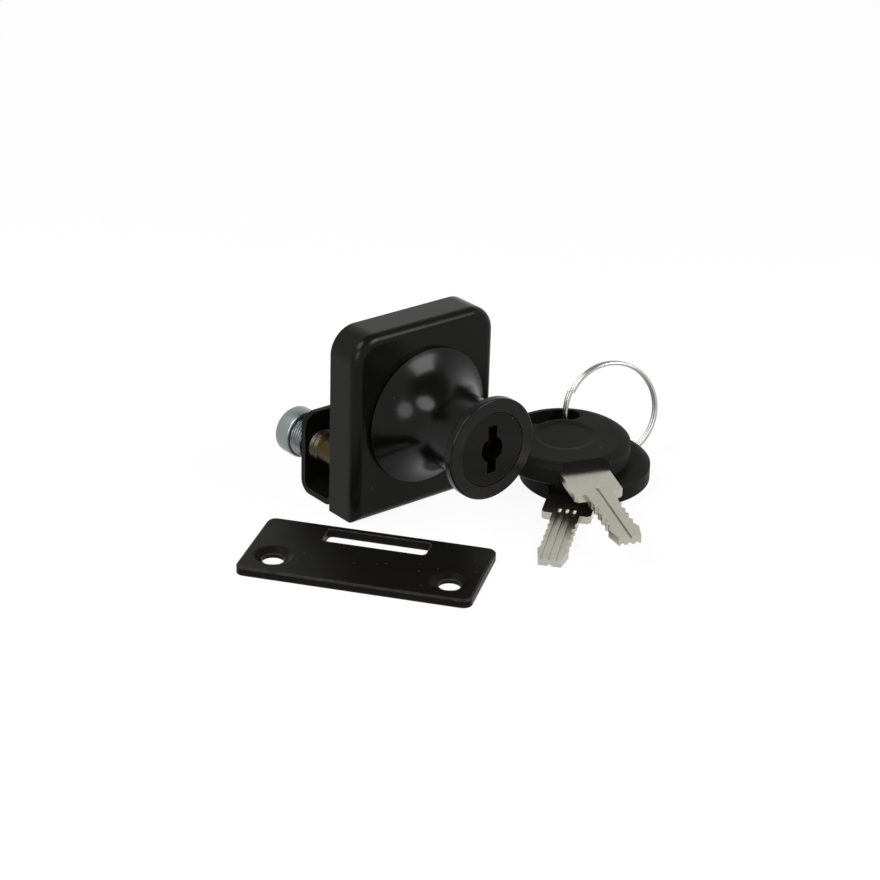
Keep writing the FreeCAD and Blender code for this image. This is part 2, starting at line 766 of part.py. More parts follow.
def make_bolt():
    """Square bolt with a flat tail, whose pin rides in the cam's spiral slot."""
    body = new_body("bolt")
    half = mm.bolt_width / 2
    tail_half = mm.bolt_tail_width / 2
    bottom = case_bottom + mm.bolt_retreat
    top = guide_top - mm.fit_gap
    tail_top = -mm.pin_orbit + mm.pin_radius * 1.4
    head = rectangle(new_sketch(body, "bolt_outline", "XZ_Plane", bolt_back), -half, bottom, half, top)
    pad(body, "bolt_head", head, mm.bolt_thickness)
    tail = rectangle(new_sketch(body, "tail_outline", "XZ_Plane", bolt_back),
                     -tail_half, top - mm.pin_radius, tail_half, tail_top)
    pad(body, "bolt_tail", tail, mm.bolt_tail_thickness)
    pin = disc(new_sketch(body, "pin_circle", "XZ_Plane", bolt_back), 0, -mm.pin_orbit, mm.pin_radius)
    pad(body, "bolt_pin", pin, cam_front - bolt_back - mm.fit_gap)
    low = bottom.value
    round_edges(body, "bolt_rounding", lambda edge: flat_at(edge, "Z", low), mm.bolt_round)


def make_bracket():
    """Bent steel bracket: upright leg in the case, bottom leg under the glass edge, jaw behind it."""
    body = new_body("bracket")
    inner = mm.bend_radius
    outer = mm.bend_radius + mm.sheet
    leg_back = mm.pad_thickness
    jaw_top = case_bottom + mm.jaw_height
    leg_top = case_top - mm.case_rim - mm.fit_gap
    floor = sill_top + mm.sheet
    profile = outline(new_sketch(body, "bend_profile", "YZ_Plane"), [
        (-leg_front, leg_top),
        (-leg_front, sill_top + outer),
        (outer - leg_front, sill_top, outer, 1),
        (jaw_back - outer, sill_top),
        (jaw_back, sill_top + outer, outer, 1),
        (jaw_back, jaw_top),
        (jaw_front, jaw_top),
        (jaw_front, floor + inner),
        (jaw_front - inner, floor, inner, -1),
        (inner - leg_back, floor),
        (-leg_back, floor + inner, inner, -1),
        (-leg_back, leg_top),
    ])
    pad(body, "bent_sheet", profile, mm.case_width, both_ways=True)
    side = half_width - mm.case_rim - mm.fit_gap
    trims = new_sketch(body, "trim_outlines", "XZ_Plane", leg_back - mm.fit_gap / 2)
    outside = half_width + mm.sheet
    rectangle(trims, side, case_bottom, outside, case_top)
    rectangle(trims, -outside, case_bottom, -side, case_top)
    cut(body, "leg_trims", trims, mm.sheet * 2)
    for name, level, radius in (("leg_corners", leg_top, mm.case_corner - mm.case_rim),
                                ("jaw_corners", jaw_top, mm.jaw_corner)):
        top = level.value
        round_edges(body, name, lambda edge: along(edge, "Y") and near(edge.BoundBox.ZMax, top), radius)
    threads = new_sketch(body, "clamp_circles", "XZ_Plane", -jaw_back)
    for x in (clamp_x, -clamp_x):
        disc(threads, x, clamp_z, mm.clamp_thread_radius + mm.fit_gap / 2)
    cut(body, "clamp_threads", threads, mm.sheet)
    holes = new_sketch(body, "screw_circles", "XZ_Plane", leg_back)
    for x in (post_x, -post_x):
        for z in (post_top, post_bottom):
            disc(holes, x, z, mm.screw_radius)
    sink = body.newObject("PartDesign::Hole", "countersunk_holes")
    sink.Profile = holes
    doc.recompute()
    sink.DepthType = "Dimension"
    sink.setExpression("Depth", (mm.sheet + mm.fit_gap * 2).text)
    sink.setExpression("Diameter", ((mm.screw_radius + mm.fit_gap / 2) * 2).text)
    sink.HoleCutType = "Countersink"
    sink.HoleCutCustomValues = True
    sink.setExpression("HoleCutDiameter", ((mm.screw_head_radius + mm.fit_gap / 2) * 2).text)
    sink.HoleCutCountersinkAngle = 90
    sink.DrillPoint = "Flat"
    sink.Reversed = True
    finish_feature(body, sink, False)


def make_bracket_screws():
    """Four countersunk screws from the bracket into the case's posts, as one group."""
    seat = -mm.pad_thickness.value
    length = mm.screw_length.value
    head = mm.screw_head_radius.value
    shank = mm.screw_radius.value
    forward = Vector(0, -1, 0)
    screws = []
    for x in (post_x.value, -post_x.value):
        for z in (post_top.value, post_bottom.value):
            cone = Part.makeCone(head, shank, head - shank, Vector(x, seat, z), forward)
            stem = Part.makeCylinder(shank, length, Vector(x, seat, z), forward)
            screws.append(cone.fuse(stem).removeSplitter())
    shaped("bracket_screws", Part.makeCompound(screws))


def make_glass_pad():
    """Rubber sheet between the case and the glass. It covers the heads of the bracket's screws."""
    body = new_body("glass_pad")
    corner = mm.case_corner - mm.pad_inset
    bottom = sill_top + mm.sheet + mm.bend_radius + mm.pad_thickness
    sheet_outline = outline(new_sketch(body, "pad_outline", "XZ_Plane"),
                            case_path(mm.pad_inset, bottom, corner))
    pad(body, "pad_sheet", sheet_outline, mm.pad_thickness)


def make_clamp(side, x):
    """Clamp screw through the jaw, and its brass tip that presses on the glass."""
    place = Vector(x, 0, clamp_z.value)
    collar_front = jaw_back + mm.clamp_rest_gap
    collar_back = collar_front + mm.clamp_collar_length
    head_back = collar_back + mm.clamp_head_length
    tip_back = mm.clamp_rest_gap + mm.clamp_tip_length
    nose = mm.clamp_thread_radius * 0.5
    socket = mm.clamp_thread_radius * 0.55
    screw = new_body(f"clamp_screw_{side}")
    profile = outline(new_sketch(screw, "screw_profile", "XY_Plane"), [
        (0, tip_back + mm.fit_gap / 2 - mm.clamp_nose_length),
        (nose - mm.fit_gap / 2, tip_back + mm.fit_gap / 2 - mm.clamp_nose_length),
        (nose - mm.fit_gap / 2, tip_back + mm.fit_gap / 2),
        (mm.clamp_thread_radius, tip_back + mm.fit_gap / 2),
        (mm.clamp_thread_radius, collar_front),
        (mm.clamp_collar_radius, collar_front),
        (mm.clamp_collar_radius, collar_back),
        (mm.clamp_head_radius, collar_back),
        (mm.clamp_head_radius, head_back),
        (0, head_back),
    ])
    revolve(screw, "turned_screw", profile)
    rim = mm.clamp_head_radius.value
    rims = (collar_back.value, head_back.value)
    round_edges(screw, "head_rounding", lambda edge: any(at_radius(edge, rim, y) for y in rims),
                mm.clamp_head_round)
    hexagon = new_sketch(screw, "socket_outline", "XZ_Plane", -head_back)
    half = socket * (math.sqrt(3) / 2)
    outline(hexagon, [(socket, 0), (socket / 2, half), (-socket / 2, half), (-socket, 0),
                      (-socket / 2, -half), (socket / 2, -half)])
    cut(screw, "hex_socket", hexagon, mm.clamp_head_length * 0.8)
    screw.Placement = Placement(place, Rotation())

    tip = new_body(f"clamp_tip_{side}")
    tip_profile = outline(new_sketch(tip, "tip_profile", "XY_Plane"), [
        (0, mm.clamp_rest_gap),
        (mm.clamp_tip_radius, mm.clamp_rest_gap),
        (mm.clamp_tip_radius, tip_back),
        (nose, tip_back),
        (nose, tip_back - mm.clamp_nose_length - mm.fit_gap),
        (0, tip_back - mm.clamp_nose_length - mm.fit_gap),
    ])
    revolve(tip, "turned_tip", tip_profile)
    tip.Placement = Placement(place, Rotation())


def make_strike_plate():
    """Flat strike plate with a slot for the bolt and two countersunk screw holes."""
    body = new_body("strike_plate")
    half_long = mm.strike_length / 2
    half_short = mm.strike_width / 2
    corner = mm.strike_corner
    plate = outline(new_sketch(body, "plate_outline", "XY_Plane"), [
        (half_long, half_short - corner), (half_long - corner, half_short, corner, 1),
        (corner - half_long, half_short), (-half_long, half_short - corner, corner, 1),
        (-half_long, corner - half_short), (corner - half_long, -half_short, corner, 1),
        (half_long - corner, -half_short), (half_long, corner - half_short, corner, 1),
    ])
    pad(body, "plate", plate, mm.strike_thickness)
    round_off = mm.strike_slot_corner
    far = half_short - mm.strike_slot_margin
    close = far - mm.strike_slot_width
    end = mm.strike_slot_length / 2
    slot = outline(new_sketch(body, "slot_outline", "XY_Plane"), [
        (end, far - round_off), (end - round_off, far, round_off, 1),
        (round_off - end, far), (-end, far - round_off, round_off, 1),
        (-end, close + round_off), (round_off - end, close, round_off, 1),
        (end - round_off, close), (end, close + round_off, round_off, 1),
    ])
    cut(body, "bolt_slot", slot, mm.strike_thickness)
    centres = new_sketch(body, "screw_circles", "XY_Plane", mm.strike_thickness)
    for x in (mm.strike_hole_spread, -mm.strike_hole_spread):
        disc(centres, x, -mm.strike_hole_offset, mm.strike_hole_radius)
    holes = body.newObject("PartDesign::Hole", "countersunk_holes")
    holes.Profile = centres
    doc.recompute()
    holes.DepthType = "ThroughAll"
    holes.setExpression("Diameter", (mm.strike_hole_radius * 2).text)
    holes.HoleCutType = "Countersink"
    holes.HoleCutCustomValues = True
    holes.setExpression("HoleCutDiameter", (mm.strike_sink_radius * 2).text)
    holes.HoleCutCountersinkAngle = 120
    finish_feature(body, holes, False)
    top = mm.strike_thickness.value
    inner_x = half_long.value - corner.value - 0.1
    inner_y = far.value + 0.1

    def on_rim(edge):
        box = edge.BoundBox
        outside = box.YMax > inner_y or box.YMin < -inner_y or box.XMax > inner_x or box.XMin < -inner_x
        return flat_at(edge, "Z", top) and outside

    round_edges(body, "top_edge", on_rim, mm.strike_edge, "Chamfer")
    base = Vector(mm.strike_x.value, mm.strike_y.value, case_bottom.value)
    body.Placement = Placement(base, Rotation(Vector(0, 0, 1), mm.strike_turn.value))


def lying_height_and_lean():
    """Height of a key's middle and its lean, in radians, where its bow and its tip rest on the table."""
    reach = mm.shoulder_reach + mm.blade_length
    flat = mm.bow_radius - mm.bow_shoulder_width
    drop = (mm.bow_thickness - mm.blade_thickness) / 2
    lean = math.asin((drop / (reach - flat)).value)
    return mm.blade_thickness.value / 2 * math.cos(lean) + reach.value * math.sin(lean), lean


def key_placement(x, y, turn, height, lean):
    """Where a key lies face down: from the bow's middle its blade points along the turn and dips."""
    heading = Rotation(Vector(0, 0, 1), turn)
    dip = Rotation(Vector(0, 1, 0), math.degrees(lean))
    over = Rotation(Vector(1, 0, 0), 180)
    return Placement(Vector(x, y, height), heading.multiply(dip).multiply(over))


def stacked_places():
    """Placements of the two keys: key 2 on the table, key 1 flat on its bow."""
    rise, lean = lying_height_and_lean()
    low = Vector(mm.key_2_x.value, mm.key_2_y.value, case_bottom.value + rise)
    lower = key_placement(low.x, low.y, mm.key_2_turn.value, low.z, lean)
    normal = lower.Rotation.multVec(Vector(0, 0, -1))
    lift = mm.bow_thickness.value + mm.key_stack_gap.value
    # the middle plane of key 1 is parallel to that of key 2, one bow and a gap above it
    x, y = mm.key_1_x.value, mm.key_1_y.value
    height = low.z + (lift - normal.x * (x - low.x) - normal.y * (y - low.y)) / normal.z
    upright = Rotation(Vector(0, 0, 1), normal)
    turn = math.radians(mm.key_1_turn.value)
    local = upright.inverted().multVec(Vector(math.cos(turn), math.sin(turn), 0))
    heading = Rotation(Vector(0, 0, 1), math.degrees(math.atan2(local.y, local.x)))
    return Placement(Vector(x, y, height), upright.multiply(heading)), lower


def blade_path():
    """Outline of the key's blade, from the bow's tang to the tip: shoulders, then cuts along both edges."""
    half_tang = mm.shoulder_width / 2 - mm.shoulder_step
    shoulder = mm.shoulder_width / 2
    half = mm.blade_width / 2
    land = half - mm.tooth_land
    flat = mm.tooth_flat / 2
    end = mm.shoulder_reach + mm.blade_length
    # the first cut lies where the front wafer is when the key's shoulder meets the plug's face
    first = mm.wafer_setback - mm.fit_gap - mm.wafer_thickness / 2
    slope = cosine(mm.tooth_ramp_angle) / sine(mm.tooth_ramp_angle)
    side = [
        (mm.tang_reach, -half_tang),
        (notch_start, -half_tang),
        (notch_start, -shoulder),
        (mm.shoulder_reach - mm.shoulder_chamfer, -shoulder),
        (mm.shoulder_reach, mm.shoulder_chamfer - shoulder),
        (mm.shoulder_reach, -land),
    ]
    for index in range(5):
        depth = getattr(mm, f"tooth_cut_{index + 1}")
        middle = mm.shoulder_reach + first + mm.wafer_pitch * index
        ramp = flat + depth * slope
        side += [(middle - ramp, -land), (middle - flat, depth - half), (middle + flat, depth - half),
                 (middle + ramp, -land)]
    side += [
        (end - mm.blade_tip_length - mm.tooth_land, -land),
        (end - mm.blade_tip_length, -half),
        (end, -mm.blade_tip_width / 2),
    ]
    return side + [(x, -y) for x, y in reversed(side)]


def make_key_blade(name, placement):
    """Nickel silver blade, cut on both edges, with one groove above and three below."""
    body = new_body(name)
    half = mm.blade_thickness / 2
    blade = outline(new_sketch(body, "blade_outline", "XY_Plane"), blade_path())
    pad(body, "blade", blade, mm.blade_thickness, both_ways=True)
    start = mm.shoulder_reach - mm.blade_groove_start
    end = mm.shoulder_reach + mm.blade_length + mm.blade_groove_width
    wide = mm.blade_groove_width / 2
    upper = rectangle(new_sketch(body, "upper_groove_outline", "XY_Plane", half), start, -wide, end, wide)
    cut(body, "upper_groove", upper, mm.blade_groove_depth, along_normal=False)
    lower = new_sketch(body, "lower_groove_outlines", "XY_Plane", -half)
    for middle in (-mm.blade_groove_spread, Size.of(0), mm.blade_groove_spread):
        rectangle(lower, start, middle - wide, end, middle + wide)
    cut(body, "lower_grooves", lower, mm.blade_groove_depth)
    body.Placement = placement


def make_key_bow(name, placement):
    """Round moulded bow: dished field, curved slot for the ring, notches where the blade leaves."""
    body = new_body(name)
    half = mm.bow_thickness / 2
    edge = mm.bow_edge_thickness / 2
    flat = mm.bow_radius - mm.bow_shoulder_width
    middle = half - mm.bow_dish_depth
    dish = mm.bow_dish_radius
    dish_floor = dish - mm.bow_dish_slope
    drop = half - edge
    shoulder = (mm.bow_shoulder_width * mm.bow_shoulder_width + drop * drop) / (drop * 2)
    profile = outline(new_sketch(body, "bow_profile", "XZ_Plane"), [
        (0, -middle), (dish_floor, -middle), (dish, -half), (flat, -half),
        (mm.bow_radius, -edge, shoulder, 1), (mm.bow_radius, edge),
        (flat, half, shoulder, 1), (dish, half), (dish_floor, middle), (0, middle)])
    revolve(body, "moulded_bow", profile)

    along, across = cosine(mm.bow_slot_half_angle), sine(mm.bow_slot_half_angle)
    outer = mm.bow_radius - mm.bow_slot_margin
    inner = outer - mm.bow_slot_width
    cap = mm.bow_slot_width / 2
    tip_x = cap * across - (outer - cap) * along
    tip_y = (outer - cap) * across + cap * along
    slot = outline(new_sketch(body, "ring_slot_outline", "XY_Plane"), [
        (-outer * along, -outer * across, outer, 1), (tip_x, -tip_y, cap, 1),
        (-inner * along, -inner * across, cap, 1), (-inner * along, inner * across, inner, -1),
        (tip_x, tip_y, cap, 1), (-outer * along, outer * across, cap, 1)])
    cut(body, "ring_slot", slot, mm.bow_thickness * 2, both_ways=True)

    past = mm.bow_radius + mm.bow_notch_gap
    side = mm.shoulder_width / 2 + mm.bow_notch_gap
    corner = mm.bow_notch_corner
    for sign, label in ((1, "upper"), (-1, "lower")):
        level = mm.blade_thickness / 2 * sign
        notch = outline(new_sketch(body, f"{label}_notch_outline", "XY_Plane", level), [
            (notch_start + corner, side), (notch_start, side - corner, corner, 1),
            (notch_start, corner - side), (notch_start + corner, -side, corner, 1),
            (past, -side), (past, side)])
        cut(body, f"{label}_notch", notch, half, along_normal=sign > 0)
    shoulder = mm.shoulder_width / 2
    half_tang = shoulder - mm.shoulder_step
    seat = outline(new_sketch(body, "blade_seat_outline", "XY_Plane"), [
        (mm.tang_reach, -half_tang), (notch_start, -half_tang), (notch_start, -shoulder), (past, -shoulder),
        (past, shoulder), (notch_start, shoulder), (notch_start, half_tang), (mm.tang_reach, half_tang)])
    cut(body, "blade_seat", seat, mm.blade_thickness, both_ways=True)
    body.Placement = placement


def make_key_ring():
    """Split ring: two turns of wire through the slots of both bows, leaning back."""
    wire = mm.ring_wire_radius.value
    pitch = wire * 2 + mm.ring_wire_gap.value
    turns = mm.ring_turns.value
    shape = coil(mm.ring_radius.value, wire, pitch, turns)
    turned = Rotation(Vector(0, 0, 1), mm.ring_turn.value)
    upright = Rotation(Vector(1, 0, 0), 90 - mm.ring_lean_angle.value)
    ends = Rotation(Vector(0, 0, 1), mm.ring_end_angle.value)
    rotation = turned.multiply(upright).multiply(ends)
    middle = Vector(mm.ring_x.value, mm.ring_y.value, case_bottom.value + mm.ring_height.value)
    start = middle - rotation.multVec(Vector(0, 0, pitch * turns / 2))
    shaped("key_ring", shape, Placement(start, rotation))


def make_all():
    make_housing()
    make_knob()
    make_knob_nut()
    make_plug()
    for index in range(5):
        make_wafer(index, getattr(mm, f"wafer_step_{index + 1}"))
        make_wafer_spring(index)
    make_retaining_clip()
    make_cam()
    make_cam_screw()
    make_bolt()
    make_bracket()
    make_bracket_screws()
    make_glass_pad()
    make_clamp("left", -clamp_x.value)
    make_clamp("right", clamp_x.value)
    make_strike_plate()
    upper, lower = stacked_places()
    make_key_blade("key_1_blade", upper)
    make_key_bow("key_1_bow", upper)
    make_key_blade("key_2_blade", lower)
    make_key_bow("key_2_bow", lower)
    make_key_ring()


make_all()
doc.recompute()
for item in doc.Objects:
    if any(word in item.State for word in ("Invalid", "Error")):
        raise RuntimeError(f"{item.Label} did not compute: {item.State}")
for node in NODES:
    if node.Shape.isNull() or not node.Shape.isValid():
        raise RuntimeError(f"{node.Label} has no valid shape")
os.makedirs("parts", exist_ok=True)
for node in NODES:
    node.Shape.exportStep(f"parts/{node.Label}.step")
    print(f"{node.Label}: {len(node.Shape.Solids)} solid, {node.Shape.Volume:.2f} mm3")
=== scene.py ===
import math
from collections import namedtuple

import bpy
from bpy.props import FloatProperty, FloatVectorProperty, PointerProperty
from mathutils import Matrix, Vector


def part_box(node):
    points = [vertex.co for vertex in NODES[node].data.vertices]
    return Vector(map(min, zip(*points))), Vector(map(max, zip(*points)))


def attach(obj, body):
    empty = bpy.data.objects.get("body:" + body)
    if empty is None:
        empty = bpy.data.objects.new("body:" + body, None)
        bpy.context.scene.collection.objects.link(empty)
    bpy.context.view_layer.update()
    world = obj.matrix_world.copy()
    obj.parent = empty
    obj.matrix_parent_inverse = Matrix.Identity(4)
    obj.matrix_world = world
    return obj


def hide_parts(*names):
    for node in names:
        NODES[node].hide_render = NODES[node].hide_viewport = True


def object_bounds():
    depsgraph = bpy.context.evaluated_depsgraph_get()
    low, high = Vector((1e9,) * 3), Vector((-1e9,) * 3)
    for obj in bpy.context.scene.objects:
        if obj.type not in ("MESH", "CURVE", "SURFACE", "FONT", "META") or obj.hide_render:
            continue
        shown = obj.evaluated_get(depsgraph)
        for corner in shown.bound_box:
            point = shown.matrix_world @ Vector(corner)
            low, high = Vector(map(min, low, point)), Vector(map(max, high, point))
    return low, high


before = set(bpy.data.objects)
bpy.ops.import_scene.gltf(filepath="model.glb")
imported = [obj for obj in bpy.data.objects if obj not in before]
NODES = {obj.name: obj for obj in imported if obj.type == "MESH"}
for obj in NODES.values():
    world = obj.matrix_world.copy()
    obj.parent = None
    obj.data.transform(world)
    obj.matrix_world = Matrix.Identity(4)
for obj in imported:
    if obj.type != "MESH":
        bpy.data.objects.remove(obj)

bl_info = {
    "name": "Glass Door Lock",
    "version": (1, 0, 0),
    "blender": (4, 5, 0),
    "location": "View3D > Sidebar > Lock",
    "description": "Finishes a clamp-on lock for a glass door, its strike plate and its keys",
    "category": "Object",
}

CAD_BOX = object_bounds()
MM = 0.001
WHITE = (1.0, 1.0, 1.0, 1.0)
WAFER_COUNT = 5

# Headings of the keys' blades and of the strike plate's long side, in degrees from +X
KEY_HEADINGS = {"key_1": -112.8, "key_2": -141.6}
STRIKE_HEADING = -53.5

# How finely the clamp screws are cut
RINGS_PER_TURN = 12
STEPS_PER_RIM = 4
POINTS_PER_RING = 72
SHARP_ANGLE = math.radians(35.0)

# Distance between a tree's nodes in the node editor
NODE_STEP = 180

# Most of a noise pattern lies between these two values
NOISE_LOW, NOISE_HIGH = 0.3, 0.7

# How much of the edge colour a speck shows. The edge colour stands for rubbed wear and for a painted
# highlight along edges
SPECK_STRENGTH = 0.5

# How many times as bright a bare metal is painted along its edges, as rubbed wear and as a painted
# highlight
METAL_EDGE_WEAR_AND_HIGHLIGHT = 1.5

# How strongly the room lights the lock, beside a white one
ROOM_LIGHT = 0.15

# The room as it is seen or mirrored is white up to one elevation in degrees, and dim from the other one up
ROOM_WHITE_BELOW = 36.0
ROOM_DIM_ABOVE = 56.0
ROOM_DIM = 0.25

# Each lamp's direction is in degrees and its brightness in times white. All are equally far from the lock.
Lamp = namedtuple("Lamp", "name shape azimuth elevation width height brightness")
LAMPS = (
    Lamp("right_front", "RECTANGLE", azimuth=28.0, elevation=38.0, width=0.3, height=0.3, brightness=9.5),
    Lamp("left_low", "ELLIPSE", azimuth=-63.0, elevation=20.0, width=0.34, height=0.3, brightness=5.5),
    Lamp("left_high", "ELLIPSE", azimuth=-104.0, elevation=56.0, width=0.46, height=0.32, brightness=8.0),
)
LAMP_DISTANCE = 0.6

# The point that the camera aims at
CAMERA_TARGET = Vector((3.88, -8.8, -6.64)) * MM


# Sizes and colours that a user can change

def length(name, description, default, high=0.1):
    return FloatProperty(name=name, description=description, default=default, min=0.0, max=high,
                         unit="LENGTH", precision=5)


def share(name, description, default):
    return FloatProperty(name=name, description=description, default=default, min=0.0, max=1.0,
                         subtype="FACTOR")


def colour(name, description, default):
    return FloatVectorProperty(name=name, description=description, default=default, size=3,
                               min=0.0, max=1.0, subtype="COLOR")


def degrees(name, description, default):
    return FloatProperty(name=name, description=description, default=math.radians(default),
                         subtype="ANGLE")


class LockLacquer(bpy.types.PropertyGroup):
    """The black finishes."""

    case_colour: colour("Case colour", "Lacquer on the case", (0.0038, 0.0038, 0.0031))
    case_roughness: share("Case roughness", "How matt the case is", 0.24)
    knob_colour: colour("Knob colour", "Lacquer on the knob", (0.0016, 0.0016, 0.0013))
    knob_roughness: share("Knob roughness", "How matt the knob is", 0.2)
    plug_roughness: share("Plug roughness", "How matt the key plug's face is", 0.38)
    gloss: share("Gloss", "How strongly the lacquer mirrors", 0.1)
    knob_gloss: share("Knob gloss", "How strongly the knob's lacquer mirrors", 0.16)
    sheet_colour: colour("Sheet colour", "Paint on bracket and strike plate", (0.0042, 0.004, 0.0034))
    sheet_roughness: share("Sheet roughness", "How matt the painted sheet is", 0.36)
    sheet_gloss: share("Sheet gloss", "How strongly painted sheet and rubber mirror", 0.055)
    rubber_colour: colour("Rubber colour", "Rubber between case and glass", (0.01, 0.01, 0.01))
    rubber_roughness: share("Rubber roughness", "How matt the rubber is", 0.75)
    bow_colour: colour("Bow colour", "Plastic of the keys' bows", (0.0075, 0.0075, 0.007))
    bow_roughness: share("Bow roughness", "How matt the bows are", 0.48)
    bow_gloss: share("Bow gloss", "How strongly the bows mirror", 0.045)
    # Edge colour and its amount: rubbed wear and also a painted highlight along edges
    edge_wear_and_highlight_colour: colour("Worn colour", "What shows along rubbed edges", (0.16, 0.14, 0.12))
    wear: share("Wear", "How much the edges are rubbed", 0.35)
    grain: length("Grain", "Size of the lacquer's fine texture", 0.35 * MM)


class LockMetal(bpy.types.PropertyGroup):
    """The bare metals."""

    zinc_colour: colour("Zinc colour", "Plating of the clamp screws", (0.22, 0.25, 0.245))
    # Painted shade: the thread between jaw and tip is coloured dark for the shade it sits in
    shaded_thread_colour: colour("Thread colour", "Oiled thread between jaw and tip", (0.07, 0.06, 0.042))
    brass_colour: colour("Brass colour", "Nut behind the case's front wall", (0.7, 0.46, 0.17))
    # Painted shade: the wafers' brass is coloured dark for the shade inside the keyway
    shaded_wafer_colour: colour("Wafer colour", "Dull brass of the wafers", (0.03, 0.024, 0.014))
    # Painted shade: the clamp tips' brass is coloured dark for the shade between jaw and case
    shaded_tip_colour: colour("Tip colour", "Darkened brass of the clamp tips", (0.05, 0.036, 0.01))
    blade_colour: colour("Blade colour", "Nickel silver of the key blades", (0.45, 0.43, 0.37))
    ring_colour: colour("Ring colour", "Nickel plate of the split ring", (0.41, 0.41, 0.395))
    roughness: share("Roughness", "How dull the inner metals are", 0.3)
    streak: length("Streak", "Spacing of the machining marks", 0.12 * MM)


class LockClamp(bpy.types.PropertyGroup):
    """The clamp screws, which have their real threads here."""

    shank_radius: length("Shank radius", "Outer radius of the thread in the jaw", 3.175 * MM)
    pitch: length("Pitch", "Advance of the thread in one turn", 1.27 * MM)
    thread_depth: length("Thread depth", "From crest to root", 0.42 * MM)
    shank_start: length("Shank start", "Where the thread begins behind the glass", 4.95 * MM)
    collar_radius: length("Collar radius", "Outer radius of the ribbed collar behind the jaw", 4.2 * MM)
    collar_start: length("Collar start", "Front of the collar", 8.7 * MM)
    collar_length: length("Collar length", "Ribbed stretch between jaw and head", 3.3 * MM)
    rib_depth: length("Rib depth", "How deep the collar's ribs are", 0.4 * MM)
    head_radius: length("Head radius", "Round head", 4.8 * MM)
    head_length: length("Head length", "Thickness of the head", 4.0 * MM)
    head_round: length("Head round", "Rounding of the head's rims", 0.35 * MM)
    nose_radius: length("Nose radius", "Pin that carries the brass tip", 1.5 * MM)
    nose_length: length("Nose length", "Length of that pin", 1.0 * MM)
    socket_radius: length("Socket radius", "Corner radius of the hexagon socket", 1.74 * MM)
    socket_depth: length("Socket depth", "Depth of the hexagon socket", 3.2 * MM)


class LockStage(bpy.types.PropertyGroup):
    """Floor and camera."""

    floor_colour: colour("Floor colour", "Plain pale floor", (0.88, 0.88, 0.88))
    floor_size: length("Floor size", "Width of the floor", 4.0, high=10.0)
    distance: length("Distance", "From the camera to the point it aims at", 0.48821, high=5.0)
    azimuth: degrees("Azimuth", "Where the camera stands round the lock", -39.63)
    elevation: degrees("Elevation", "How far the camera looks down", 24.75)
    roll: degrees("Roll", "How far the camera leans", -1.67)
    lens: FloatProperty(name="Lens", description="Focal length in millimetres", default=102.34, min=1.0)


# Shader nodes

def blank_tree(owner):
    """The empty node tree of a new material or world."""
    owner.use_nodes = True
    owner.node_tree.nodes.clear()
    return owner.node_tree


def add(tree, kind, inputs=None, **settings):
    """Adds a node. Inputs are given by name or number, as values or as the sockets that feed them."""
    made = tree.nodes.new(kind)
    made.location.x = NODE_STEP * len(tree.nodes)
    for name, value in settings.items():
        setattr(made, name, value)
    for name, value in (inputs or {}).items():
        if isinstance(value, bpy.types.NodeSocket):
            tree.links.new(value, made.inputs[name])
        else:
            made.inputs[name].default_value = value
    return made


def maths(tree, operation, *values, clamp=False):
    made = add(tree, "ShaderNodeMath", dict(enumerate(values)), operation=operation, use_clamp=clamp)
    return made.outputs[0]


def spread(tree, value, start, end, low=0.0, high=1.0):
    """Goes from low to high while a value goes from start to end, and stays there beyond them."""
    made = add(tree, "ShaderNodeMapRange", {
        "Value": value, "From Min": start, "From Max": end, "To Min": low, "To Max": high})
    return made.outputs[0]


def mixed_colour(tree, amount, first, second):
    """A colour between two plain ones."""
    made = add(tree, "ShaderNodeMix", {0: amount}, data_type="RGBA")
    sockets = [item for item in made.inputs if item.type == "RGBA"]
    for socket, value in zip(sockets, (first, second)):
        socket.default_value = (*value, 1.0)
    return next(item for item in made.outputs if item.type == "RGBA")


def object_place(tree):
    return add(tree, "ShaderNodeTexCoord").outputs["Object"]


def per_metre(tree, size):
    """How many features of this size lie along one metre."""
    return maths(tree, "DIVIDE", 1.0, size)


def noise(tree, where, scale, **inputs):
    """Noise with this many features along one metre."""
    wanted = {name.capitalize(): value for name, value in inputs.items()}
    return add(tree, "ShaderNodeTexNoise", {"Vector": where, "Scale": scale, **wanted}).outputs[0]


def new_group(name, inputs, outputs):
    """A node group, from its inputs' names and defaults. Gives its tree and its two end nodes."""
    tree = bpy.data.node_groups.new(name, "ShaderNodeTree")
    for label, default in inputs:
        socket = tree.interface.new_socket(label, in_out="INPUT", socket_type="NodeSocketFloat")
        socket.default_value = default
    for label in outputs:
        tree.interface.new_socket(label, in_out="OUTPUT", socket_type="NodeSocketFloat")
    return tree, add(tree, "NodeGroupInput"), add(tree, "NodeGroupOutput")


def place(tree, group, **inputs):
    """Places a node group. Input names have spaces where the keywords have underscores."""
    named = {name.replace("_", " ").capitalize(): value for name, value in inputs.items()}
    return add(tree, "ShaderNodeGroup", named, node_tree=bpy.data.node_groups[group])


def build_grain_group():
    """Fine sprayed or moulded grain, with slow clouds that vary the gloss."""
    tree, given, result = new_group("Fine grain", [("Size", 0.4 * MM), ("Cloud size", 12 * MM)],
                                    ["Grain", "Cloud"])
    where = object_place(tree)
    fine = noise(tree, where, per_metre(tree, given.outputs["Size"]), detail=3.0, roughness=0.55)
    slow = noise(tree, where, per_metre(tree, given.outputs["Cloud size"]), detail=2.0)
    tree.links.new(fine, result.inputs["Grain"])
    tree.links.new(slow, result.inputs["Cloud"])


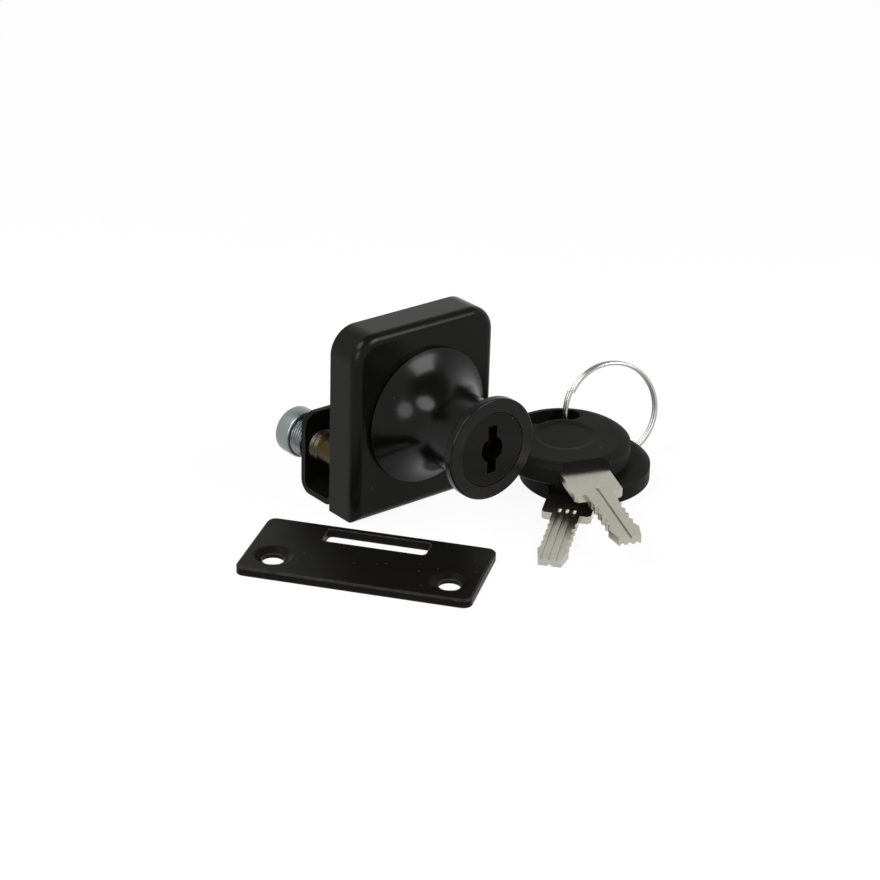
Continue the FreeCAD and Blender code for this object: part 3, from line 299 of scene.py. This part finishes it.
def build_edge_group():
    """Edges that take rubbed wear and a painted highlight: where the surface turns within a small radius,
    broken up by noise.
    """
    tree, given, result = new_group("Edge wear", [("Radius", 0.3 * MM), ("Break up", 0.6)], ["Edge"])
    softened = add(tree, "ShaderNodeBevel", {"Radius": given.outputs["Radius"]}, samples=6).outputs[0]
    sharp = add(tree, "ShaderNodeNewGeometry").outputs["Normal"]
    # The cosine between the two normals is 1 on a flat and less where an edge is softened
    match = add(tree, "ShaderNodeVectorMath", {0: softened, 1: sharp}, operation="DOT_PRODUCT")
    turned = spread(tree, match.outputs["Value"], start=0.985, end=0.86)
    chips = noise(tree, object_place(tree), scale=620.0, detail=4.0)
    chips = spread(tree, chips, start=0.35, end=0.62)
    kept = maths(tree, "SUBTRACT", 1.0, maths(tree, "MULTIPLY", given.outputs["Break up"], chips))
    tree.links.new(maths(tree, "MULTIPLY", turned, kept, clamp=True), result.inputs["Edge"])


def build_streak_group():
    """Straight machining or brushing marks that run along a heading in the horizontal plane."""
    tree, given, result = new_group("Straight marks", [("Spacing", 0.1 * MM), ("Heading", 0.0)],
                                    ["Marks"])
    back = maths(tree, "MULTIPLY", given.outputs["Heading"], -1.0)
    turned = add(tree, "ShaderNodeVectorRotate", {"Vector": object_place(tree), "Angle": back},
                 rotation_type="Z_AXIS").outputs[0]
    # Drawn out along the heading, spots of noise become marks about 30 times as long as they are wide
    stretch = (0.03, 1.0, 1.0)
    drawn = add(tree, "ShaderNodeVectorMath", {0: turned, 1: stretch}, operation="MULTIPLY")
    lines = noise(tree, drawn.outputs[0], per_metre(tree, given.outputs["Spacing"]), detail=2.0)
    tree.links.new(lines, result.inputs["Marks"])


def build_turning_group():
    """Turning marks: rings about an axis that runs along Y through one point."""
    tree, given, result = new_group("Turning marks",
                                    [("Spacing", 0.1 * MM), ("Axis x", 0.0), ("Axis z", 0.0)], ["Marks"])
    where = add(tree, "ShaderNodeSeparateXYZ", {0: object_place(tree)})
    across = maths(tree, "SUBTRACT", where.outputs["X"], given.outputs["Axis x"])
    up = maths(tree, "SUBTRACT", where.outputs["Z"], given.outputs["Axis z"])
    squares = [maths(tree, "POWER", item, 2.0) for item in (across, up)]
    radius = maths(tree, "SQRT", maths(tree, "ADD", *squares))
    ring = add(tree, "ShaderNodeCombineXYZ", {"X": radius, "Y": where.outputs["Y"]})
    lines = noise(tree, ring.outputs[0], per_metre(tree, given.outputs["Spacing"]), detail=2.0)
    tree.links.new(lines, result.inputs["Marks"])


def build_smudge_group():
    """Faint handling smudges."""
    tree, given, result = new_group("Smudges", [("Size", 6 * MM), ("Amount", 0.5)], ["Smudge"])
    scale = per_metre(tree, given.outputs["Size"])
    clouds = noise(tree, object_place(tree), scale, detail=5.0, distortion=0.8)
    mask = spread(tree, clouds, start=0.5, end=0.8)
    amount = maths(tree, "MULTIPLY", mask, given.outputs["Amount"], clamp=True)
    tree.links.new(amount, result.inputs["Smudge"])


def build_speck_group():
    """Dust and tiny chips: sparse small spots."""
    tree, given, result = new_group("Specks", [("Spacing", 1.6 * MM), ("Share", 0.12)], ["Speck"])
    cells = add(tree, "ShaderNodeTexVoronoi", {
        "Vector": object_place(tree), "Scale": per_metre(tree, given.outputs["Spacing"])})
    spot = spread(tree, cells.outputs["Distance"], start=0.05, end=0.1, low=1.0, high=0.0)
    chance = add(tree, "ShaderNodeSeparateXYZ", {0: cells.outputs["Color"]}).outputs["X"]
    chosen = maths(tree, "LESS_THAN", chance, given.outputs["Share"])
    tree.links.new(maths(tree, "MULTIPLY", spot, chosen, clamp=True), result.inputs["Speck"])


# Materials

# What makes one finish unlike another. Radius, grain and depth are in metres.
Look = namedtuple("Look", "base worn roughness vary metallic wear radius grain depth specks specular")


def material(name, look, marks=None):
    """A finish with grain, gloss clouds, smudges, specks and edges painted lighter, as rubbed wear and as
    a painted highlight, and with marks where given.
    """
    made = bpy.data.materials.new(name)
    tree = blank_tree(made)
    grain = place(tree, "Fine grain", size=look.grain)
    edge = place(tree, "Edge wear", radius=look.radius)
    smudge = place(tree, "Smudges")
    specks = place(tree, "Specks", share=look.specks)
    # Painted highlight and wear: the colour turns to the lighter edge colour along edges
    rubbed_and_highlit = maths(tree, "MULTIPLY", edge.outputs["Edge"], look.wear)
    chipped = maths(tree, "MULTIPLY", specks.outputs["Speck"], SPECK_STRENGTH)
    tint = mixed_colour(tree, maths(tree, "MAXIMUM", rubbed_and_highlit, chipped), look.base, look.worn)
    clouded = spread(tree, grain.outputs["Cloud"], start=NOISE_LOW, end=NOISE_HIGH,
                     low=look.roughness - look.vary, high=look.roughness + look.vary)
    dulled = maths(tree, "MULTIPLY", smudge.outputs["Smudge"], look.vary)
    roughness = maths(tree, "ADD", clouded, dulled, clamp=True)
    height = grain.outputs["Grain"]
    if marks:
        height = maths(tree, "ADD", height, marks(tree))
    bump = add(tree, "ShaderNodeBump", {"Height": height, "Distance": look.depth, "Strength": 1.0})
    shader = add(tree, "ShaderNodeBsdfPrincipled", {
        "Base Color": tint, "Metallic": look.metallic, "Roughness": roughness, "Normal": bump.outputs[0],
        "Specular IOR Level": look.specular})
    add(tree, "ShaderNodeOutputMaterial", {"Surface": shader.outputs[0]})
    return made


def straight_marks(heading, spacing, strength):
    """Makes the marks of a material that is machined or brushed along a heading in degrees."""
    def marks(tree):
        lines = place(tree, "Straight marks", spacing=spacing, heading=math.radians(heading))
        return maths(tree, "MULTIPLY", lines.outputs["Marks"], strength)
    return marks


def turning_marks(x, z, spacing, strength):
    """Makes the marks of a material that is turned about an axis along Y."""
    def marks(tree):
        rings = place(tree, "Turning marks", spacing=spacing, axis_x=x, axis_z=z)
        return maths(tree, "MULTIPLY", rings.outputs["Marks"], strength)
    return marks


def dress(made, *names):
    """Gives CAD nodes a material."""
    for name in names:
        slots = NODES[name].data.materials
        slots.clear()
        slots.append(made)


def lacquer_look(settings, base, roughness, wear_and_highlight_share=1.0, **changes):
    """A black finish, which turns to one lighter colour on all its edges, as rubbed wear and as a painted
    highlight.
    """
    look = Look(base=tuple(base), worn=tuple(settings.edge_wear_and_highlight_colour), roughness=roughness, vary=0.04,
                metallic=0.0, wear=settings.wear * wear_and_highlight_share, radius=0.25 * MM, grain=settings.grain,
                depth=0.004 * MM, specks=0.05, specular=settings.gloss)
    return look._replace(**changes)


def metal_look(base, roughness, **changes):
    """A bare metal, which is painted brighter along its edges, as rubbed wear and as a painted highlight.
    """
    look = Look(base=tuple(base), worn=tuple(min(1.0, value * METAL_EDGE_WEAR_AND_HIGHLIGHT) for value in base),
                roughness=roughness, vary=0.05, metallic=1.0, wear=0.6, radius=0.2 * MM,
                grain=0.5 * MM, depth=0.004 * MM, specks=0.0, specular=0.5)
    return look._replace(**changes)


# Operators, one for each piece or group of like pieces

class LOCK_OT_case(bpy.types.Operator):
    """Lacquer the case and the bracket, and give the sheet between case and glass its rubber"""

    bl_idname = "lock.case"
    bl_label = "Case and bracket"

    def execute(self, context):
        black = context.scene.lock_lacquer
        # Painted highlight: the lighter edges also stand for light on the case's rounded edges
        case = lacquer_look(black, black.case_colour, black.case_roughness, wear_and_highlight_share=0.3)
        dress(material("black_case", case), "housing")
        sheet = lacquer_look(black, black.sheet_colour, black.sheet_roughness, wear_and_highlight_share=0.5,
                             specular=black.sheet_gloss)
        dress(material("black_bracket", sheet), "bracket")
        rubber = lacquer_look(black, black.rubber_colour, black.rubber_roughness, wear_and_highlight_share=0.0,
                              grain=0.6 * MM, depth=0.01 * MM, specular=black.sheet_gloss)
        dress(material("rubber_sheet", rubber), "glass_pad")
        return {"FINISHED"}


class LOCK_OT_knob(bpy.types.Operator):
    """Lacquer the knob and the key plug"""

    bl_idname = "lock.knob"
    bl_label = "Knob and key plug"

    def execute(self, context):
        black = context.scene.lock_lacquer
        # Painted highlight: the lighter edges also draw the bright line along the knob's rim
        knob = lacquer_look(black, black.knob_colour, black.knob_roughness, wear_and_highlight_share=0.5,
                            depth=0.003 * MM, vary=0.02, specular=black.knob_gloss)
        marks = turning_marks(x=0.0, z=0.0, spacing=0.9 * MM, strength=0.3)
        dress(material("black_knob", knob, marks), "knob")
        plug = lacquer_look(black, black.knob_colour, black.plug_roughness, wear_and_highlight_share=0.5)
        marks = turning_marks(x=0.0, z=0.0, spacing=0.3 * MM, strength=0.4)
        dress(material("black_plug", plug, marks), "plug")
        return {"FINISHED"}


def one_per_wafer(name):
    """The nodes that come once for each wafer."""
    return [f"{name}_{number}" for number in range(1, WAFER_COUNT + 1)]


class LOCK_OT_works(bpy.types.Operator):
    """Give the parts inside the case their bare metals"""

    bl_idname = "lock.works"
    bl_label = "Inner works"

    def execute(self, context):
        bare = context.scene.lock_metal
        nut = metal_look(bare.brass_colour, bare.roughness)
        dress(material("inner_brass", nut), "knob_nut")
        # Painted shade: a dark brass for the wafers in the keyway's shade
        wafer = metal_look(bare.shaded_wafer_colour, roughness=0.45)
        dress(material("wafer_brass", wafer), *one_per_wafer("wafer"))
        steel = metal_look(bare.zinc_colour, bare.roughness)
        marks = straight_marks(heading=0.0, spacing=bare.streak, strength=0.5)
        dress(material("inner_steel", steel, marks), "scroll_cam", "cam_screw", "bracket_screws", "bolt")
        spring = metal_look(bare.ring_colour, roughness=0.25)
        dress(material("spring_steel", spring), "retaining_clip", *one_per_wafer("wafer_spring"))
        return {"FINISHED"}


def hexagon_reach(angle, corner_radius):
    """Distance from a hexagon's middle to its side at an angle."""
    flat = corner_radius * math.cos(math.pi / 6)
    return flat / math.cos((angle % (math.pi / 3)) - math.pi / 6)


def rib_height(y, angle, pitch, depth):
    """Height above the root at one place of a thread with sloping sides."""
    turn = (y / pitch - angle / (2 * math.pi)) % 1.0
    from_root = abs(turn - 0.5) * 2.0
    root_share, slope_share = 0.12, 0.72
    return depth * min(1.0, max(0.0, (from_root - root_share) / slope_share))


def clamp_rings(sizes):
    """The clamp screw as rings of (radius for an angle, y), from its nose to its socket's floor."""
    def plain(radius):
        return lambda angle: radius

    def ribbed(y, radius, pitch, depth):
        return lambda angle: radius - depth + rib_height(y, angle, pitch, depth)

    def socket(angle):
        return hexagon_reach(angle, sizes.socket_radius)

    def stretch(start, end, radius, pitch, depth):
        """A threaded or ribbed stretch."""
        count = max(2, round((end - start) / pitch * RINGS_PER_TURN))
        places = [start + (end - start) * step / count for step in range(count + 1)]
        return [(ribbed(y, radius, pitch, depth), y) for y in places]

    def rim(y, start_angle):
        """A quarter of a rounded rim, about a circle inside the head at y."""
        round_off = sizes.head_round
        steps = [start_angle + math.pi / 2 * step / STEPS_PER_RIM for step in range(STEPS_PER_RIM + 1)]
        return [(plain(sizes.head_radius - round_off + round_off * math.sin(angle)),
                 y - round_off * math.cos(angle)) for angle in steps]

    nose_start = sizes.shank_start - sizes.nose_length
    collar_end = sizes.collar_start + sizes.collar_length
    head_end = collar_end + sizes.head_length
    socket_floor = head_end - sizes.socket_depth
    return [
        (plain(0.0), nose_start),
        (plain(sizes.nose_radius), nose_start),
        (plain(sizes.nose_radius), sizes.shank_start),
        (plain(sizes.shank_radius - sizes.thread_depth), sizes.shank_start),
        *stretch(sizes.shank_start, sizes.collar_start, sizes.shank_radius, sizes.pitch,
                 sizes.thread_depth),
        (plain(sizes.collar_radius - sizes.rib_depth), sizes.collar_start),
        *stretch(sizes.collar_start, collar_end, sizes.collar_radius, sizes.pitch / 2, sizes.rib_depth),
        *rim(collar_end + sizes.head_round, 0.0),
        *rim(head_end - sizes.head_round, math.pi / 2),
        (socket, head_end),
        (socket, socket_floor),
        (plain(0.0), socket_floor),
    ]


def turned_mesh(name, rings, middle):
    """A mesh of rings about an axis along Y. The first and the last ring are single points."""
    angles = [2 * math.pi * step / POINTS_PER_RING for step in range(POINTS_PER_RING)]
    full_rings = rings[1:-1]
    points = []
    for radius, y in full_rings:
        for angle in angles:
            x = middle.x + radius(angle) * math.cos(angle)
            z = middle.z + radius(angle) * math.sin(angle)
            points.append((x, y, z))
    neighbours = [(step, (step + 1) % POINTS_PER_RING) for step in range(POINTS_PER_RING)]
    faces = []
    for row in range(len(full_rings) - 1):
        near = row * POINTS_PER_RING
        far = near + POINTS_PER_RING
        faces += [(near + one, near + other, far + other, far + one) for one, other in neighbours]
    first, last = len(points), len(points) + 1
    points += [(middle.x, rings[0][1], middle.z), (middle.x, rings[-1][1], middle.z)]
    end = (len(full_rings) - 1) * POINTS_PER_RING
    for one, other in neighbours:
        faces.append((first, other, one))
        faces.append((end + one, end + other, last))
    mesh = bpy.data.meshes.new(name)
    mesh.from_pydata(points, [], faces)
    mesh.shade_smooth()
    mesh.set_sharp_from_angle(angle=SHARP_ANGLE)
    made = bpy.data.objects.new(name, mesh)
    bpy.context.scene.collection.objects.link(made)
    return made


class LOCK_OT_clamps(bpy.types.Operator):
    """Cut the clamp screws' threads and plate them, colour the thread between jaw and tip dark as painted
    shade, and give their tips brass darkened as painted shade
    """

    bl_idname = "lock.clamps"
    bl_label = "Clamp screws"

    def execute(self, context):
        bare = context.scene.lock_metal
        sizes = context.scene.lock_clamp
        for side in ("left", "right"):
            node = f"clamp_screw_{side}"
            low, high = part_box(node)
            middle = (Vector(low) + Vector(high)) / 2
            piece = turned_mesh(f"threaded_screw_{side}", clamp_rings(sizes), middle)
            marks = turning_marks(middle.x, middle.z, spacing=0.25 * MM, strength=0.8)
            zinc = metal_look(bare.zinc_colour, roughness=0.33, vary=0.12, grain=0.3 * MM,
                              depth=0.007 * MM)
            piece.data.materials.append(material(f"zinc_screw_{side}", zinc, marks))
            # Painted shade: the thread from the nose to the collar takes the dark thread colour
            thread = metal_look(bare.shaded_thread_colour, roughness=0.35)
            piece.data.materials.append(material(f"shaded_thread_{side}", thread, marks))
            for face in piece.data.polygons:
                face.material_index = int(face.center.y < sizes.collar_start)
            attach(piece, node)
            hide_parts(node)
            dress(piece.data.materials[0], node)
            # Painted shade: the tips' brass is darkened
            tip = metal_look(bare.shaded_tip_colour, roughness=0.36, depth=0.04 * MM)
            marks = turning_marks(middle.x, middle.z, spacing=0.6 * MM, strength=2.0)
            dress(material(f"brass_tip_{side}", tip, marks), f"clamp_tip_{side}")
        return {"FINISHED"}


class LOCK_OT_strike(bpy.types.Operator):
    """Paint the strike plate"""

    bl_idname = "lock.strike"
    bl_label = "Strike plate"

    def execute(self, context):
        black = context.scene.lock_lacquer
        paint = lacquer_look(black, black.sheet_colour, black.sheet_roughness, wear_and_highlight_share=1.4,
                             specks=0.35, vary=0.08, radius=0.5 * MM, specular=black.sheet_gloss)
        marks = straight_marks(STRIKE_HEADING, spacing=0.4 * MM, strength=0.5)
        dress(material("black_strike", paint, marks), "strike_plate")
        return {"FINISHED"}


class LOCK_OT_keys(bpy.types.Operator):
    """Give the keys their nickel silver blades and moulded bows"""

    bl_idname = "lock.keys"
    bl_label = "Keys"

    def execute(self, context):
        black = context.scene.lock_lacquer
        bare = context.scene.lock_metal
        bow = lacquer_look(black, black.bow_colour, black.bow_roughness, wear_and_highlight_share=0.2,
                           depth=0.008 * MM, specks=0.1, specular=black.bow_gloss)
        dress(material("moulded_bow", bow), "key_1_bow", "key_2_bow")
        for key, heading in KEY_HEADINGS.items():
            blade = metal_look(bare.blade_colour, roughness=0.28, wear=0.7, vary=0.07)
            marks = straight_marks(heading, spacing=bare.streak, strength=0.8)
            dress(material(f"{key}_nickel", blade, marks), f"{key}_blade")
        return {"FINISHED"}


class LOCK_OT_ring(bpy.types.Operator):
    """Plate the split ring"""

    bl_idname = "lock.ring"
    bl_label = "Split ring"

    def execute(self, context):
        bare = context.scene.lock_metal
        wire = metal_look(bare.ring_colour, roughness=0.26, wear=0.0, depth=0.0008 * MM)
        dress(material("nickel_wire", wire), "key_ring")
        return {"FINISHED"}


def seen_rays(tree):
    """1 for rays from the camera, directly or by way of gloss or glass, and 0 for the rest."""
    path = add(tree, "ShaderNodeLightPath")
    bent = maths(tree, "MAXIMUM", path.outputs["Is Glossy Ray"], path.outputs["Is Transmission Ray"])
    return maths(tree, "MAXIMUM", path.outputs["Is Camera Ray"], bent)


def floor_material(name, tint):
    """A plain pale floor. It looks near white, takes the shadows and is plain white far away."""
    made = bpy.data.materials.new(name)
    tree = blank_tree(made)
    matt = add(tree, "ShaderNodeBsdfPrincipled", {
        "Base Color": (*tint, 1.0), "Roughness": 0.9, "Specular IOR Level": 0.1})
    glow = add(tree, "ShaderNodeEmission", {"Color": WHITE, "Strength": 1.0})
    away = add(tree, "ShaderNodeVectorMath", {0: object_place(tree)}, operation="LENGTH").outputs["Value"]
    glow_share = spread(tree, away, start=0.15, end=0.8, low=0.93, high=1.0)
    glow_seen = maths(tree, "MULTIPLY", seen_rays(tree), glow_share)
    mix = add(tree, "ShaderNodeMixShader", {0: glow_seen, 1: matt.outputs[0], 2: glow.outputs[0]})
    add(tree, "ShaderNodeOutputMaterial", {"Surface": mix.outputs[0]})
    return made


def lay_floor(settings):
    """A square floor at the height of the lock's lowest point."""
    lowest = CAD_BOX[0][2]
    half = settings.floor_size / 2
    corners = ((-half, -half), (half, -half), (half, half), (-half, half))
    mesh = bpy.data.meshes.new("floor")
    mesh.from_pydata([(x, y, lowest) for x, y in corners], [], [(0, 1, 2, 3)])
    mesh.materials.append(floor_material("pale_floor", settings.floor_colour))
    floor = bpy.data.objects.new("floor", mesh)
    bpy.context.scene.collection.objects.link(floor)


def room_brightness(tree):
    """White from the floor up to a low elevation, and dimmer overhead."""
    direction = add(tree, "ShaderNodeTexCoord").outputs["Generated"]
    up = add(tree, "ShaderNodeSeparateXYZ", {0: direction}).outputs["Z"]
    return spread(tree, up, start=math.sin(math.radians(ROOM_WHITE_BELOW)),
                  end=math.sin(math.radians(ROOM_DIM_ABOVE)), low=1.0, high=ROOM_DIM)


def set_room():
    """A pale room, which lights the lock only faintly and looks bright where it is seen or mirrored."""
    world = bpy.data.worlds.new("pale_room")
    tree = blank_tree(world)
    seen = seen_rays(tree)
    lighting = maths(tree, "MULTIPLY", maths(tree, "SUBTRACT", 1.0, seen), ROOM_LIGHT)
    shown = maths(tree, "MULTIPLY", seen, room_brightness(tree))
    strength = maths(tree, "ADD", lighting, shown)
    sky = add(tree, "ShaderNodeBackground", {"Color": WHITE, "Strength": strength})
    add(tree, "ShaderNodeOutputWorld", {"Surface": sky.outputs[0]})
    bpy.context.scene.world = world


def towards(azimuth, elevation):
    """Direction from the lock. Azimuth 0 is straight in front, and a quarter turn on is its right."""
    return Vector((math.sin(azimuth) * math.cos(elevation), -math.cos(azimuth) * math.cos(elevation),
                   math.sin(elevation)))


def hang_lamp(lamp):
    """A softbox that faces the lock."""
    away = towards(math.radians(lamp.azimuth), math.radians(lamp.elevation))
    light = bpy.data.lights.new(lamp.name, "AREA")
    light.shape = lamp.shape
    light.size = lamp.width
    light.size_y = lamp.height
    filled = {"RECTANGLE": 1.0, "ELLIPSE": math.pi / 4}[lamp.shape]
    light.energy = lamp.brightness * math.pi * lamp.width * lamp.height * filled
    made = bpy.data.objects.new(lamp.name, light)
    made.location = away * LAMP_DISTANCE
    made.rotation_mode = "QUATERNION"
    made.rotation_quaternion = (-away).to_track_quat("-Z", "Y")
    bpy.context.scene.collection.objects.link(made)


def stand_camera(settings):
    """The camera at the photograph's viewing angle."""
    camera = bpy.data.cameras.new("camera")
    camera.sensor_width = 36.0
    camera.lens = settings.lens
    camera.clip_start = 0.01
    camera.clip_end = 20.0
    made = bpy.data.objects.new("camera", camera)
    back = towards(settings.azimuth, settings.elevation)
    made.location = CAMERA_TARGET + back * settings.distance
    made.rotation_mode = "QUATERNION"
    lean = Matrix.Rotation(-settings.roll, 3, "Z").to_quaternion()
    made.rotation_quaternion = (-back).to_track_quat("-Z", "Y") @ lean
    bpy.context.scene.collection.objects.link(made)
    bpy.context.scene.camera = made


class LOCK_OT_stage(bpy.types.Operator):
    """Lay the floor, set the lights and stand the camera at the photograph's angle"""

    bl_idname = "lock.stage"
    bl_label = "Stage"

    def execute(self, context):
        settings = context.scene.lock_stage
        lay_floor(settings)
        set_room()
        for lamp in LAMPS:
            hang_lamp(lamp)
        stand_camera(settings)
        context.scene.view_settings.view_transform = "Standard"
        return {"FINISHED"}


OPERATORS = (LOCK_OT_case, LOCK_OT_knob, LOCK_OT_works, LOCK_OT_clamps, LOCK_OT_strike, LOCK_OT_keys,
             LOCK_OT_ring, LOCK_OT_stage)


class LOCK_PT_panel(bpy.types.Panel):
    """Lists the lock's pieces and their settings"""

    bl_idname = "LOCK_PT_panel"
    bl_label = "Glass door lock"
    bl_space_type = "VIEW_3D"
    bl_region_type = "UI"
    bl_category = "Lock"

    def draw(self, context):
        for operator in OPERATORS:
            self.layout.operator(operator.bl_idname)
        scene = context.scene
        for group in (scene.lock_lacquer, scene.lock_metal, scene.lock_clamp, scene.lock_stage):
            box = self.layout.box()
            for name in group.__annotations__:
                box.prop(group, name)


CLASSES = (LockLacquer, LockMetal, LockClamp, LockStage, *OPERATORS, LOCK_PT_panel)


def register():
    for item in CLASSES:
        bpy.utils.register_class(item)
    bpy.types.Scene.lock_lacquer = PointerProperty(type=LockLacquer)
    bpy.types.Scene.lock_metal = PointerProperty(type=LockMetal)
    bpy.types.Scene.lock_clamp = PointerProperty(type=LockClamp)
    bpy.types.Scene.lock_stage = PointerProperty(type=LockStage)


def unregister():
    del bpy.types.Scene.lock_stage
    del bpy.types.Scene.lock_clamp
    del bpy.types.Scene.lock_metal
    del bpy.types.Scene.lock_lacquer
    for item in reversed(CLASSES):
        bpy.utils.unregister_class(item)


def main():
    register()
    for build in (build_grain_group, build_edge_group, build_streak_group, build_turning_group,
                  build_smudge_group, build_speck_group):
        build()
    for operator in OPERATORS:
        group, name = operator.bl_idname.split(".")
        getattr(getattr(bpy.ops, group), name)()


if __name__ == "__main__":
    main()
